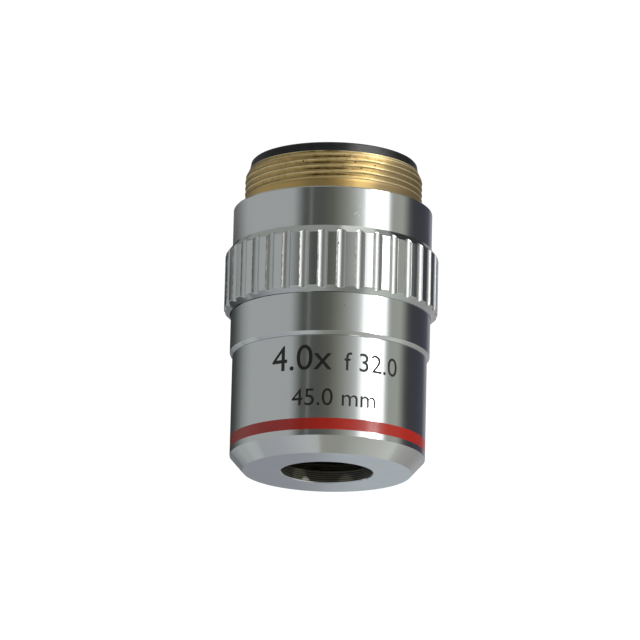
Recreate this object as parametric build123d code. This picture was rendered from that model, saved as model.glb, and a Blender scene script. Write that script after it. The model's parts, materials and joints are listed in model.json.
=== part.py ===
from build123d import *
import os
from math import radians, sin, sqrt

# Low-power microscope objective for a finite tube, nose down and thread up, in millimetres.
# +Z is the optical axis, from the specimen towards the tube. The origin is where that axis
# crosses the seat face, the shoulder that stops against the nosepiece.
# Sizes run inwards from the standard thread, and the lens train hangs between nose and thread.

# Clearances between pieces
thread_clearance = 0.02  # radial, between screwed pieces
slip_clearance = 0.015  # radial, between slid pieces
cement_gap = 0.01  # between the two glasses of a doublet
overrun = 1.0  # how far a cutter runs past what it cuts
edge_break = 0.1  # corner broken on small turned rings

# Thread mount: the bare brass stub with the standard objective thread
thread_major_diameter = 20.27  # 0.8 inch thread at its crests
thread_length = 4.6  # seat face to the stub's end
thread_lead_width = 0.45  # taper that lets the thread start
thread_lead_length = 0.9
mount_wall = 2.035  # from the crests to the bore
mount_spigot_wall = 1.18
mount_spigot_length = 6.0  # below the seat face
seat_relief_width = 0.2  # undercut at the thread's foot
seat_relief_depth = 0.4  # below the seat face

# Barrel: plated sleeve with the shoulder collar
shoulder_width = 1.215  # from the thread's crests to the collar's side
barrel_length = 17.25
barrel_wall = 1.2  # at the lower end, round the nose sleeve's spigot
collar_edge = 0.15
barrel_end_bevel = 0.35

# Grip ring: fluted band pressed on the barrel
grip_top_depth = 4.65  # seat face down to the ring
grip_ring_length = 7.75
grip_height = 0.8  # how far the ring stands out of the barrel
grip_lip = 0.08  # ring wall left at each end
grip_top_bevel = 0.95
grip_foot_bevel = 0.55
flute_count = 36
flute_width = 1.1
flute_depth = 0.28

# Nose sleeve: plated lower sleeve with the bevelled nose
nose_reach = 30.5  # seat face to nose face
nose_step = 0.3  # how far the sleeve lies inside the barrel's side
sleeve_wall = 1.75
sleeve_spigot_length = 4.75
sleeve_edge = 0.08  # broken edge under the barrel, seen as a dark seam
nose_bevel_width = 1.5
nose_bevel_length = 1.7
nose_hole_diameter = 10.36
nose_lip = 1.4
nose_hole_edge = 0.1
band_foot_rise = 2.36  # nose face up to the colour band
band_width = 1.3
band_depth = 0.12

# Lens tube: blackened inner barrel that carries the lens train
tube_nose_gap = 1.4  # nose lip to the tube's end
tube_lip_height = 0.8
tube_lip_width = 0.9
tube_wall = 0.9
tube_head_relief = 0.28  # the screwed head stands this far out of the tube
tube_head_length = 8.0
tube_rim = 0.3  # tube wall left above the train ring
key_slot_width = 1.2  # spanner slots in the tube's rim and in the rings
key_slot_depth = 0.5

# Rings above the tube
stop_spigot_length = 1.7
stop_ring_gap = 0.3
stop_ring_wall = 1.58
stop_flange_inset = 0.03  # from the thread's end to the flange
stop_flange_height = 1.07
stop_flange_taper = 0.15
stop_flange_edge = 0.17
stop_bore_chamfer = 0.5
pin_hole_diameter = 1.0
pin_hole_depth = 0.7
lock_ring_height = 1.0
lock_ring_wall = 1.18
train_ring_height = 1.0
train_ring_wall = 1.28

# Shared cell sizes
lens_ring_height = 0.92
lens_ring_bite = 0.3  # the ring's thread is this much wider than the glass
seat_width = 0.5  # glass edge held by a seat
ring_hold = 0.5  # glass edge held by a retaining ring
spacer_wall = 0.95
front_spacer_share = 0.6  # of the room that the cells leave
stop_thickness = 0.4
stop_hole_diameter = 6.4
stop_hole_land = 0.1

# Front doublet, in curvature radii: positive bends towards the tube at its edge
front_cell_wall = 1.9
front_ring_recess = 0.5
front_seat_height = 1.0
front_low_curve = 60.0
front_cement_curve = 11.0
front_high_curve = -14.0
front_flint_thickness = 1.2
front_crown_edge = 0.69  # height of glass left at its rim

# Thick meniscus
meniscus_cell_wall = 2.15
meniscus_seat_height = 0.75
meniscus_ring_recess = 0.4
meniscus_low_curve = -8.0
meniscus_high_curve = -9.0
meniscus_thickness = 3.4
centring_clearance = 0.15  # radial, so that the cell can be centred
screw_diameter = 1.6
screw_count = 3
screw_stand = 0.8  # beyond the tube's side
screw_slot_width = 0.3
screw_slot_depth = 0.4

# Rear doublet
rear_cell_wall = 1.7
rear_seat_height = 1.2
rear_ring_recess = 0.25
rear_low_curve = 30.0
rear_cement_curve = -13.0
rear_high_curve = -48.0
rear_crown_edge = 0.87
rear_flint_thickness = 1.2


def sag(curve, height):
    """Rise of a spherical surface above its vertex, at a height off the axis."""
    bow = abs(curve) - sqrt(curve * curve - height * height)
    return bow if curve > 0 else -bow


# Radii, inwards from the thread
thread_radius = thread_major_diameter / 2
barrel_radius = thread_radius + shoulder_width
grip_radius = barrel_radius + grip_height
sleeve_radius = barrel_radius - nose_step
sleeve_bore = sleeve_radius - sleeve_wall
mount_bore = thread_radius - mount_wall
mount_spigot_radius = mount_bore + mount_spigot_wall
head_radius = mount_bore - thread_clearance
tube_radius = head_radius - tube_head_relief
tube_bore = tube_radius - tube_wall
train_radius = tube_bore - slip_clearance
front_glass_radius = train_radius - front_cell_wall
meniscus_cell_radius = train_radius - centring_clearance
meniscus_glass_radius = train_radius - meniscus_cell_wall
rear_glass_radius = train_radius - rear_cell_wall

# Heights of the outer pieces
nose_face_z = -nose_reach
lip_top_z = nose_face_z + nose_lip
tube_foot_z = lip_top_z + tube_nose_gap

# Heights from the thread's end down to the lens train
stop_spigot_z = thread_length - stop_spigot_length
lock_ring_z = stop_spigot_z - stop_ring_gap - lock_ring_height
tube_top_z = lock_ring_z
train_ring_z = tube_top_z - tube_rim - train_ring_height

# Front cell, upwards from the tube's lip
front_cell_z = tube_foot_z + tube_lip_height
front_ring_bore = front_glass_radius - ring_hold
front_seat_radius = front_glass_radius - seat_width
front_ring_z = front_cell_z + front_ring_recess
front_low_z = front_ring_z + lens_ring_height - sag(front_low_curve, front_ring_bore)
front_cement_z = front_low_z + front_flint_thickness
front_crown_z = front_cement_z + cement_gap
front_crown_bow = sag(front_cement_curve, front_glass_radius) - sag(front_high_curve, front_glass_radius)
front_high_z = front_crown_z + front_crown_edge + front_crown_bow
front_seat_z = front_high_z + sag(front_high_curve, front_seat_radius)
front_cell_top_z = front_seat_z + front_seat_height

# Meniscus cell: heights above its own foot
meniscus_ring_bore = meniscus_glass_radius - ring_hold
meniscus_low_rise = meniscus_seat_height - sag(meniscus_low_curve, meniscus_glass_radius)
meniscus_high_rise = meniscus_low_rise + meniscus_thickness
meniscus_ring_rise = meniscus_high_rise + sag(meniscus_high_curve, meniscus_ring_bore)
meniscus_cell_length = meniscus_ring_rise + lens_ring_height + meniscus_ring_recess

# Rear cell: heights above its own foot
rear_ring_bore = rear_glass_radius - ring_hold
rear_seat_radius = rear_glass_radius - seat_width
rear_low_rise = rear_seat_height - sag(rear_low_curve, rear_seat_radius)
rear_crown_bow = sag(rear_low_curve, rear_glass_radius) - sag(rear_cement_curve, rear_glass_radius)
rear_cement_rise = rear_low_rise + rear_crown_edge + rear_crown_bow
rear_flint_rise = rear_cement_rise + cement_gap
rear_high_rise = rear_flint_rise + rear_flint_thickness
rear_ring_rise = rear_high_rise + sag(rear_high_curve, rear_ring_bore)
rear_cell_length = rear_ring_rise + lens_ring_height + rear_ring_recess
rear_cell_z = train_ring_z - rear_cell_length
stop_disc_z = rear_cell_z - stop_thickness

# The two spacers share what the cells leave of the tube
spacer_room = stop_disc_z - front_cell_top_z - meniscus_cell_length
meniscus_cell_z = front_cell_top_z + spacer_room * front_spacer_share
rear_spacer_z = meniscus_cell_z + meniscus_cell_length
screw_z = (meniscus_cell_z + rear_spacer_z) / 2


def turned(outline):
    """Solid of revolution about the optical axis, from (radius, height) corners."""
    corners = [(radius, 0, height) for radius, height in outline]
    return revolve(make_face(Polyline(*corners, close=True)), Axis.Z)


def ring(outer, inner, low, high):
    """Plain turned ring with its outer corners broken."""
    return turned([
        (inner, low),
        (outer - edge_break, low),
        (outer, low + edge_break),
        (outer, high - edge_break),
        (outer - edge_break, high),
        (inner, high),
    ])


def key_slots(outer, mouth, floor):
    """The cutter for two spanner slots, one straight bar across the ring."""
    return Pos(0, 0, (mouth + floor) / 2) * Box(2 * outer + overrun, key_slot_width, abs(mouth - floor))


def slotted_ring(outer, inner, low, high, mouth_up):
    """Screwed retaining ring, slotted on the face that the spanner reaches."""
    mouth, floor = high + overrun, high - key_slot_depth
    if not mouth_up:
        mouth, floor = low - overrun, low + key_slot_depth
    return ring(outer, inner, low, high) - key_slots(outer, mouth, floor)


def lens(radius, low_z, low_curve, high_z, high_curve):
    """Glass between two spherical surfaces, ground to a cylinder at its edge."""
    middle = radius / 2
    low_mid_z, low_edge_z = (low_z + sag(low_curve, height) for height in (middle, radius))
    high_mid_z, high_edge_z = (high_z + sag(high_curve, height) for height in (middle, radius))
    outline = Curve() + [
        ThreePointArc((0, 0, low_z), (middle, 0, low_mid_z), (radius, 0, low_edge_z)),
        Line((radius, 0, low_edge_z), (radius, 0, high_edge_z)),
        ThreePointArc((radius, 0, high_edge_z), (middle, 0, high_mid_z), (0, 0, high_z)),
        Line((0, 0, high_z), (0, 0, low_z)),
    ]
    return revolve(make_face(outline), Axis.Z)


def thread_mount():
    """Brass stub: thread crests above the seat face, relief at its foot, spigot below."""
    lead_z = thread_length - thread_lead_length
    relief_radius = thread_radius - seat_relief_width
    return turned([
        (mount_bore, -mount_spigot_length),
        (mount_spigot_radius - edge_break, -mount_spigot_length),
        (mount_spigot_radius, edge_break - mount_spigot_length),
        (mount_spigot_radius, -seat_relief_depth),
        (relief_radius, -seat_relief_depth),
        (relief_radius, 0),
        (thread_radius, 0),
        (thread_radius, lead_z),
        (thread_radius - thread_lead_width, thread_length),
        (mount_bore, thread_length),
    ])


def barrel():
    """Plated sleeve: seat face on top, bores for the mount and for the nose sleeve."""
    seat_bore = thread_radius + thread_clearance
    upper_bore = mount_spigot_radius + thread_clearance
    lower_bore = barrel_radius - barrel_wall
    return turned([
        (seat_bore, 0),
        (barrel_radius - collar_edge, 0),
        (barrel_radius, -collar_edge),
        (barrel_radius, barrel_end_bevel - barrel_length),
        (barrel_radius - barrel_end_bevel, -barrel_length),
        (lower_bore, -barrel_length),
        (lower_bore, -mount_spigot_length),
        (upper_bore, -mount_spigot_length),
        (upper_bore, -seat_relief_depth),
        (seat_bore, -seat_relief_depth),
    ])


def grip_ring():
    """Bevelled ring with round-bottomed flutes milled right through both bevels."""
    bore = barrel_radius + slip_clearance
    lip_radius = bore + grip_lip
    top_z = -grip_top_depth
    foot_z = top_z - grip_ring_length
    blank = turned([
        (bore, foot_z),
        (lip_radius, foot_z),
        (grip_radius, foot_z + grip_foot_bevel),
        (grip_radius, top_z - grip_top_bevel),
        (lip_radius, top_z),
        (bore, top_z),
    ])
    half_width = flute_width / 2
    cutter_radius = (half_width**2 + flute_depth**2) / (2 * flute_depth)
    cutter_reach = grip_radius - flute_depth + cutter_radius
    cutter_height = grip_ring_length + 2 * overrun
    cutter = Cylinder(cutter_radius, cutter_height)
    middle = Pos(0, 0, (top_z + foot_z) / 2)
    # Half a pitch of turn leaves a land, not a flute, on +X.
    places = PolarLocations(cutter_reach, flute_count, start_angle=180 / flute_count)
    return blank - [middle * place * cutter for place in places]


def nose_sleeve():
    """Plated lower sleeve with its spigot, band groove, bevel and pierced nose."""
    hole = nose_hole_diameter / 2
    spigot_radius = barrel_radius - barrel_wall - thread_clearance
    spigot_top = sleeve_spigot_length - barrel_length
    band_floor = sleeve_radius - band_depth
    band_low = nose_face_z + band_foot_rise
    band_high = band_low + band_width
    return turned([
        (hole + nose_hole_edge, nose_face_z),
        (sleeve_radius - nose_bevel_width, nose_face_z),
        (sleeve_radius, nose_face_z + nose_bevel_length),
        (sleeve_radius, band_low),
        (band_floor, band_low),
        (band_floor, band_high),
        (sleeve_radius, band_high),
        (sleeve_radius, -barrel_length - sleeve_edge),
        (sleeve_radius - sleeve_edge, -barrel_length),
        (spigot_radius, -barrel_length),
        (spigot_radius, spigot_top - edge_break),
        (spigot_radius - edge_break, spigot_top),
        (sleeve_bore, spigot_top),
        (sleeve_bore, lip_top_z),
        (hole, lip_top_z),
        (hole, nose_face_z + nose_hole_edge),
    ])


def colour_band():
    """Enamel that fills the band groove flush, the colour code of the magnification."""
    band_low = nose_face_z + band_foot_rise
    band_high = band_low + band_width
    band_floor = sleeve_radius - band_depth
    return turned([
        (band_floor, band_low),
        (sleeve_radius, band_low),
        (sleeve_radius, band_high),
        (band_floor, band_high),
    ])


def screw_places():
    """Places along the radial screw axes, turned so that X runs outwards."""
    return [Rot(0, 0, 360 * turn / screw_count) for turn in range(screw_count)]


def lens_tube():
    """Inner barrel: screwed head for focusing, lip at the foot, three tapped holes."""
    head_z = tube_top_z - tube_head_length
    body = turned([
        (tube_bore - tube_lip_width, tube_foot_z),
        (tube_radius - edge_break, tube_foot_z),
        (tube_radius, tube_foot_z + edge_break),
        (tube_radius, head_z),
        (head_radius, head_z + tube_head_relief),
        (head_radius, tube_top_z - edge_break),
        (head_radius - edge_break, tube_top_z),
        (tube_bore, tube_top_z),
        (tube_bore, front_cell_z),
        (tube_bore - tube_lip_width, front_cell_z),
    ])
    body -= key_slots(head_radius, tube_top_z + overrun, tube_top_z - tube_rim)
    tap_radius = screw_diameter / 2 + thread_clearance
    tap = Pos(tube_radius, 0, screw_z) * Rot(0, 90, 0) * Cylinder(tap_radius, 2 * tube_wall + overrun)
    return body - [place * tap for place in screw_places()]


def centring_screws():
    """Three slotted grub screws that push the meniscus cell true."""
    start = meniscus_cell_radius
    length = tube_radius + screw_stand - start
    middle = start + length / 2
    shank = Rot(0, 90, 0) * Cylinder(screw_diameter / 2, length)
    tip_edge = shank.edges().sort_by(Axis.X)[0]
    shank = chamfer(tip_edge, edge_break)
    slot_x = (length - screw_slot_depth) / 2
    slot = Pos(slot_x, 0, 0) * Box(screw_slot_depth, 2 * screw_diameter, screw_slot_width)
    screw = Pos(middle, 0, screw_z) * (shank - slot)
    return [place * screw for place in screw_places()]


def front_cell():
    """Cell of the front doublet: seat on top, thread for its ring below."""
    thread_bore = front_glass_radius + lens_ring_bite
    ring_top_z = front_ring_z + lens_ring_height
    glass_bore = front_glass_radius + slip_clearance
    return turned([
        (thread_bore, front_cell_z),
        (train_radius, front_cell_z),
        (train_radius, front_cell_top_z),
        (front_seat_radius, front_cell_top_z),
        (front_seat_radius, front_seat_z),
        (glass_bore, front_seat_z),
        (glass_bore, ring_top_z),
        (thread_bore, ring_top_z),
    ])


def front_retaining_ring():
    """Slotted ring that holds the front doublet from the nose side."""
    outer = front_glass_radius + lens_ring_bite - thread_clearance
    top_z = front_ring_z + lens_ring_height
    return slotted_ring(outer, front_ring_bore, front_ring_z, top_z, mouth_up=False)


def front_flint():
    return lens(front_glass_radius, front_low_z, front_low_curve, front_cement_z, front_cement_curve)


def front_crown():
    return lens(front_glass_radius, front_crown_z, front_cement_curve, front_high_z, front_high_curve)


def spacer(low, high):
    """Plain distance tube of the lens train."""
    return turned([
        (train_radius - spacer_wall, low),
        (train_radius, low),
        (train_radius, high),
        (train_radius - spacer_wall, high),
    ])


def meniscus_cell():
    """Cell of the thick meniscus, slimmer than the bore so that it can be centred."""
    foot_z = meniscus_cell_z
    top_z = foot_z + meniscus_cell_length
    seat_z = foot_z + meniscus_seat_height
    ring_z = foot_z + meniscus_ring_rise
    seat_radius = meniscus_glass_radius - seat_width
    thread_bore = meniscus_glass_radius + lens_ring_bite
    glass_bore = meniscus_glass_radius + slip_clearance
    return turned([
        (seat_radius, foot_z),
        (meniscus_cell_radius, foot_z),
        (meniscus_cell_radius, top_z),
        (thread_bore, top_z),
        (thread_bore, ring_z),
        (glass_bore, ring_z),
        (glass_bore, seat_z),
        (seat_radius, seat_z),
    ])


def meniscus_lens():
    low_z = meniscus_cell_z + meniscus_low_rise
    high_z = meniscus_cell_z + meniscus_high_rise
    return lens(meniscus_glass_radius, low_z, meniscus_low_curve, high_z, meniscus_high_curve)


def meniscus_retaining_ring():
    """Slotted ring that holds the meniscus from the tube side."""
    outer = meniscus_glass_radius + lens_ring_bite - thread_clearance
    low_z = meniscus_cell_z + meniscus_ring_rise
    return slotted_ring(outer, meniscus_ring_bore, low_z, low_z + lens_ring_height, mouth_up=True)


def aperture_stop():
    """Thin disc whose bevelled hole sets the numerical aperture."""
    hole = stop_hole_diameter / 2
    bevel = stop_thickness - stop_hole_land
    return turned([
        (hole, stop_disc_z),
        (train_radius, stop_disc_z),
        (train_radius, rear_cell_z),
        (hole + bevel, rear_cell_z),
        (hole, stop_disc_z + stop_hole_land),
    ])


def rear_cell():
    """Cell of the rear doublet: seat below, thread for its ring on top."""
    seat_z = rear_cell_z + rear_seat_height
    ring_z = rear_cell_z + rear_ring_rise
    thread_bore = rear_glass_radius + lens_ring_bite
    glass_bore = rear_glass_radius + slip_clearance
    return turned([
        (rear_seat_radius, rear_cell_z),
        (train_radius, rear_cell_z),
        (train_radius, train_ring_z),
        (thread_bore, train_ring_z),
        (thread_bore, ring_z),
        (glass_bore, ring_z),
        (glass_bore, seat_z),
        (rear_seat_radius, seat_z),
    ])


def rear_crown():
    low_z = rear_cell_z + rear_low_rise
    high_z = rear_cell_z + rear_cement_rise
    return lens(rear_glass_radius, low_z, rear_low_curve, high_z, rear_cement_curve)


def rear_flint():
    low_z = rear_cell_z + rear_flint_rise
    high_z = rear_cell_z + rear_high_rise
    return lens(rear_glass_radius, low_z, rear_cement_curve, high_z, rear_high_curve)


def rear_retaining_ring():
    """Slotted ring that holds the rear doublet from the tube side."""
    outer = rear_glass_radius + lens_ring_bite - thread_clearance
    low_z = rear_cell_z + rear_ring_rise
    return slotted_ring(outer, rear_ring_bore, low_z, low_z + lens_ring_height, mouth_up=True)


def train_retaining_ring():
    """Slotted ring that clamps the whole train in the tube."""
    outer = tube_bore - thread_clearance
    high_z = train_ring_z + train_ring_height
    return slotted_ring(outer, outer - train_ring_wall, train_ring_z, high_z, mouth_up=True)


def parfocal_lock_ring():
    """Slotted ring that locks the tube at its focusing height in the mount."""
    high_z = lock_ring_z + lock_ring_height
    return slotted_ring(head_radius, head_radius - lock_ring_wall, lock_ring_z, high_z, mouth_up=True)


def rear_stop_ring():
    """Black stop ring screwed into the thread's end, with two pin-spanner holes."""
    flange_radius = thread_radius - thread_lead_width - stop_flange_inset
    upper_radius = flange_radius - stop_flange_taper
    face_radius = upper_radius - stop_flange_edge
    bore = head_radius - stop_ring_wall
    top_z = thread_length + stop_flange_height
    body = turned([
        (bore, stop_spigot_z),
        (head_radius - edge_break, stop_spigot_z),
        (head_radius, stop_spigot_z + edge_break),
        (head_radius, thread_length),
        (flange_radius, thread_length),
        (upper_radius, top_z - stop_flange_edge),
        (face_radius, top_z),
        (bore + stop_bore_chamfer, top_z),
        (bore, top_z - stop_bore_chamfer),
    ])
    hole_reach = (face_radius + bore + stop_bore_chamfer) / 2
    hole = Pos(0, 0, top_z) * Cylinder(pin_hole_diameter / 2, 2 * pin_hole_depth)
    return body - [Pos(side * hole_reach, 0, 0) * hole for side in (-1, 1)]


nodes = {
    "thread_mount": thread_mount(),
    "barrel": barrel(),
    "grip_ring": grip_ring(),
    "nose_sleeve": nose_sleeve(),
    "colour_band": colour_band(),
    "lens_tube": lens_tube(),
    "front_cell": front_cell(),
    "front_retaining_ring": front_retaining_ring(),
    "front_flint": front_flint(),
    "front_crown": front_crown(),
    "front_spacer": spacer(front_cell_top_z, meniscus_cell_z),
    "meniscus_cell": meniscus_cell(),
    "meniscus_lens": meniscus_lens(),
    "meniscus_retaining_ring": meniscus_retaining_ring(),
    "centring_screws": Compound(centring_screws()),
    "rear_spacer": spacer(rear_spacer_z, stop_disc_z),
    "aperture_stop": aperture_stop(),
    "rear_cell": rear_cell(),
    "rear_crown": rear_crown(),
    "rear_flint": rear_flint(),
    "rear_retaining_ring": rear_retaining_ring(),
    "train_retaining_ring": train_retaining_ring(),
    "parfocal_lock_ring": parfocal_lock_ring(),
    "rear_stop_ring": rear_stop_ring(),
}

os.makedirs("parts", exist_ok=True)
for name, shape in nodes.items():
    export_step(shape, f"parts/{name}.step")
    print(name, round(shape.volume, 1))
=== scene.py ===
# %% [markdown]
# # A microscope objective seen from a little below
# The object is a low-power objective for a microscope: a chromed brass barrel with a bare brass thread on top,
# a fluted ring to grip it by, a red colour band and a bevelled nose with a round opening.
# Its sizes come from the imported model, so that model is loaded first. Every piece made here sits exactly
# where its solid is, and one millimetre is the unit of each size that is typed in.

# %% Load the frame
import json
from math import atan2, cos, degrees, hypot, pi, radians, sin, sqrt

import bpy
from mathutils import Matrix, Vector


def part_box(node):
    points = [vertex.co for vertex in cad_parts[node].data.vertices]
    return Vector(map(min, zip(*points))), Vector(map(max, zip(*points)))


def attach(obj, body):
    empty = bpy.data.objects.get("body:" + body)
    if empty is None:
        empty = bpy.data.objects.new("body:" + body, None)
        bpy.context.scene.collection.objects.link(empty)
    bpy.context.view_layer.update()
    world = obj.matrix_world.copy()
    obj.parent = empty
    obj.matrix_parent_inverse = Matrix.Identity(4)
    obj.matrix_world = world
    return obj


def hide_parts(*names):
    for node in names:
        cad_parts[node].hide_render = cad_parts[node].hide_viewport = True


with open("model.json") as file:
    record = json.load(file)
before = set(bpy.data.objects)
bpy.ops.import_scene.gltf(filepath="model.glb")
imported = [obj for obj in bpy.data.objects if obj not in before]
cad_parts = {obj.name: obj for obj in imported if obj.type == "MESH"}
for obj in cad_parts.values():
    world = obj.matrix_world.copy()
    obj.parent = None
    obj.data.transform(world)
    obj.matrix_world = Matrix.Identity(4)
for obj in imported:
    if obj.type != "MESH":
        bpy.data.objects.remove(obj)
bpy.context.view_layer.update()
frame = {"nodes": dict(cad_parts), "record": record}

mm = 0.001


def size_of(node):
    """Outer radius, lowest height and highest height of a solid, in millimetres."""
    low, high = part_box(node)
    return high.x / mm, low.z / mm, high.z / mm


def about_axis(point):
    """Angle about the axis, and the distance from it and height in millimetres."""
    return atan2(point.y, point.x), hypot(point.x, point.y) / mm, point.z / mm


# %% [markdown]
# ## Small helpers for materials
# A colour given as a hex code is an sRGB colour, but Blender's shaders work with linear light, so one function
# converts. Materials are built from nodes, and one function adds a node, sets it and links its inputs. The
# rest are short names for nodes that nearly every material needs, so that each one reads like a recipe.

# %% Colours and nodes
def to_linear(hex_colour):
    """Turns an sRGB hex colour into the linear colour with alpha that nodes take."""
    shares = [int(hex_colour[place:place + 2], 16) / 255 for place in (1, 3, 5)]
    return (*(s / 12.92 if s <= 0.04045 else ((s + 0.055) / 1.055) ** 2.4 for s in shares), 1)


def add_node(tree, kind, settings=None, inputs=None):
    """Adds one shader node, sets its settings, and fills or links its inputs."""
    node = tree.nodes.new("ShaderNode" + kind)
    for name, value in (settings or {}).items():
        setattr(node, name, value)
    for name, value in (inputs or {}).items():
        if isinstance(value, bpy.types.NodeSocket):
            tree.links.new(value, node.inputs[name])
        else:
            node.inputs[name].default_value = value
    return node


def calculate(tree, operation, *values, clamp=False):
    """One step of arithmetic on numbers or links."""
    settings = {"operation": operation, "use_clamp": clamp}
    return add_node(tree, "Math", settings, dict(enumerate(values))).outputs["Value"]


def ranged(tree, value, low=0.0, high=1.0, to_low=0.0, to_high=1.0, soft=False):
    """A value moved from one range to another, with soft ends if asked."""
    node = add_node(tree, "MapRange", {"interpolation_type": "SMOOTHSTEP" if soft else "LINEAR"},
                    {"Value": value, "From Min": low, "From Max": high, "To Min": to_low, "To Max": to_high})
    return node.outputs["Result"]


def blend(tree, share, *colours):
    """A mix of two colours, each of them a hex colour or a link."""
    first, second = (to_linear(colour) if isinstance(colour, str) else colour for colour in colours)
    node = add_node(tree, "Mix", {"data_type": "RGBA"}, {"Factor": share, "A": first, "B": second})
    return node.outputs["Result"]


def noise(tree, position, scale, detail=2.0, roughness=0.5):
    """Cloudy noise between nought and one."""
    node = add_node(tree, "TexNoise", None,
                    {"Vector": position, "Scale": scale, "Detail": detail, "Roughness": roughness})
    return node.outputs["Fac"]


def bumps(tree, height, distance, **more):
    """A surface that looks uneven by a pattern, over a distance in millimetres."""
    node = add_node(tree, "Bump", None, {"Height": height, "Distance": distance * mm, **more})
    return node.outputs["Normal"]


def axes(tree, position):
    """The three coordinates of a position."""
    return add_node(tree, "SeparateXYZ", None, {"Vector": position}).outputs


def empty_material(name):
    """A material without nodes, and its node tree."""
    material = bpy.data.materials.new(name)
    material.use_nodes = True
    material.node_tree.nodes.clear()
    return material, material.node_tree


def start_material(name):
    """An empty material, its tree, and the surface position in millimetres to build on."""
    material, tree = empty_material(name)
    position = add_node(tree, "TexCoord").outputs["Object"]
    scaled = add_node(tree, "VectorMath", {"operation": "SCALE"}, {0: position, "Scale": 1 / mm})
    return material, tree, scaled.outputs["Vector"]


def end_material(material, inputs):
    """Sends a principled shader with the given inputs to the surface, and returns the material."""
    shader = add_node(material.node_tree, "BsdfPrincipled", None, inputs)
    add_node(material.node_tree, "OutputMaterial", None, {"Surface": shader.outputs["BSDF"]})
    print("made", material.name)
    return material


print("a dull red in linear light:", [round(share, 3) for share in to_linear("#A3231B")])


# %% [markdown]
# ## Patterns that a lathe and a cutter leave
# A turned surface carries fine rings round its axis, on its side, its bevels and its flat face alike. Height
# plus distance from the axis changes across every one of those rings and never along them, so one-dimensional
# noise of that sum draws them all. Real tool marks here are about 0.05 mm apart, too fine to show, so they are
# drawn 0.1 to 0.2 mm apart and kept very shallow.

# %% Turning marks and specks
def ring_noise(tree, position, scale, detail, roughness=0.5):
    """Noise that only changes with height plus distance from the axis, so it draws rings."""
    parts = axes(tree, position)
    flat = add_node(tree, "CombineXYZ", None, {"X": parts["X"], "Y": parts["Y"]})
    reach = add_node(tree, "VectorMath", {"operation": "LENGTH"}, {0: flat.outputs["Vector"]})
    across = calculate(tree, "ADD", parts["Z"], reach.outputs["Value"])
    node = add_node(tree, "TexNoise", {"noise_dimensions": "1D"},
                    {"W": across, "Scale": scale, "Detail": detail, "Roughness": roughness})
    return node.outputs["Fac"]


def turning_marks(tree, position, spacing, height):
    """A bump of fine rings round the axis, with their spacing and height in millimetres."""
    return bumps(tree, ring_noise(tree, position, 1 / spacing, 3.0, 0.6), height)


def specks(tree, position, places, radius):
    """A mask that is one inside small spots at the given places, in millimetres."""
    mask = 0.0
    for place in places:
        gap = add_node(tree, "VectorMath", {"operation": "DISTANCE"}, {0: position, 1: place})
        spot = ranged(tree, gap.outputs["Value"], radius, radius / 2, soft=True)
        mask = calculate(tree, "MAXIMUM", mask, spot)
    return mask


print("rings on the side and on the nose share one measure")


# %% [markdown]
# ## Chrome plate
# The barrel is brass, turned and then plated with nickel and chrome. That gives a hard mirror with a slight
# haze: the rings from the lathe stay under the plate and soften reflections up and down. Two pin pricks in the
# plate and a few grains of pale dust are put where the real one has them.

# %% Chrome over fine turning
chrome_colour = "#CFD1D3"
pin_pricks = [(1.5, -11.26, -13.9), (-5.9, -5.6, -30.5)]
prick_radius = 0.09
pale_dust = [(2.45, -11.09, -3.25), (2.63, -11.05, -3.08), (2.94, -10.97, -3.38), (3.04, -10.95, -2.37)]
dust_radius = 0.08


def chrome_over_turning():
    """A mirror with a slight haze. Pricks in it are rough, and grains of dust on it are no metal."""
    material, tree, position = start_material("chrome plate over turned brass")
    pricks = specks(tree, position, pin_pricks, prick_radius)
    dust = specks(tree, position, pale_dust, dust_radius)
    haze = ranged(tree, noise(tree, position, 0.35, 4.0), to_low=0.09, to_high=0.17)
    return end_material(material, {
        "Base Color": blend(tree, dust, blend(tree, pricks, chrome_colour, "#8A8C88"), "#F4F4F2"),
        "Metallic": calculate(tree, "SUBTRACT", 1.0, dust),
        "Roughness": calculate(tree, "MAXIMUM", haze, pricks),
        "Normal": turning_marks(tree, position, 0.2, 0.0006),
    })


chrome = chrome_over_turning()


# %% [markdown]
# ## Chrome over milling
# The grip ring's grooves are milled from end to end, so their grain runs along the axis. Noise that is
# stretched along Z draws it: fine across the groove, long down it. A dashed dark line of painted shade runs
# along the left edge of every groove. A third finish darkens the plate to a dark brown in the joint under the
# ring, and the darkening fades out to the right.

# %% Chrome over milled flutes
flute_count = 36
left_edge = 0.255
flute_nick = [(0.72, -12.0, -6.9)]
nick_radius = 0.16


def chrome_over_milling():
    """Satin plate in the grooves, with a dashed line of painted shade along the left edge of each."""
    material, tree, position = start_material("chrome plate over milled brass")
    stretched = add_node(tree, "Mapping", None, {"Vector": position, "Scale": (1, 1, 0.06)})
    grain = noise(tree, stretched.outputs["Vector"], 9.0, 5.0, 0.65)
    # The fraction of the way from one land's middle to the next gives the place across a groove.
    parts = axes(tree, position)
    around = calculate(tree, "ARCTAN2", parts["Y"], parts["X"])
    across = calculate(tree, "FRACT", calculate(tree, "MULTIPLY", around, flute_count / (2 * pi)))
    from_edge = calculate(tree, "ABSOLUTE", calculate(tree, "SUBTRACT", across, left_edge))
    # A dashed line of painted shade runs along the left edge of each groove.
    line = ranged(tree, from_edge, 0.048, 0.012, soft=True)
    dashes = ranged(tree, noise(tree, position, 2.2, 4.0), 0.35, 0.66, 0.12, 0.72)
    darkening = calculate(tree, "MULTIPLY", line, dashes)
    dark = calculate(tree, "MAXIMUM", darkening, specks(tree, position, flute_nick, nick_radius))
    return end_material(material, {
        "Base Color": blend(tree, dark, chrome_colour, "#2E2D29"),
        "Metallic": 1.0,
        "Roughness": ranged(tree, grain, to_low=0.24, to_high=0.46),
        "Normal": bumps(tree, grain, 0.01),
    })


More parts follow.
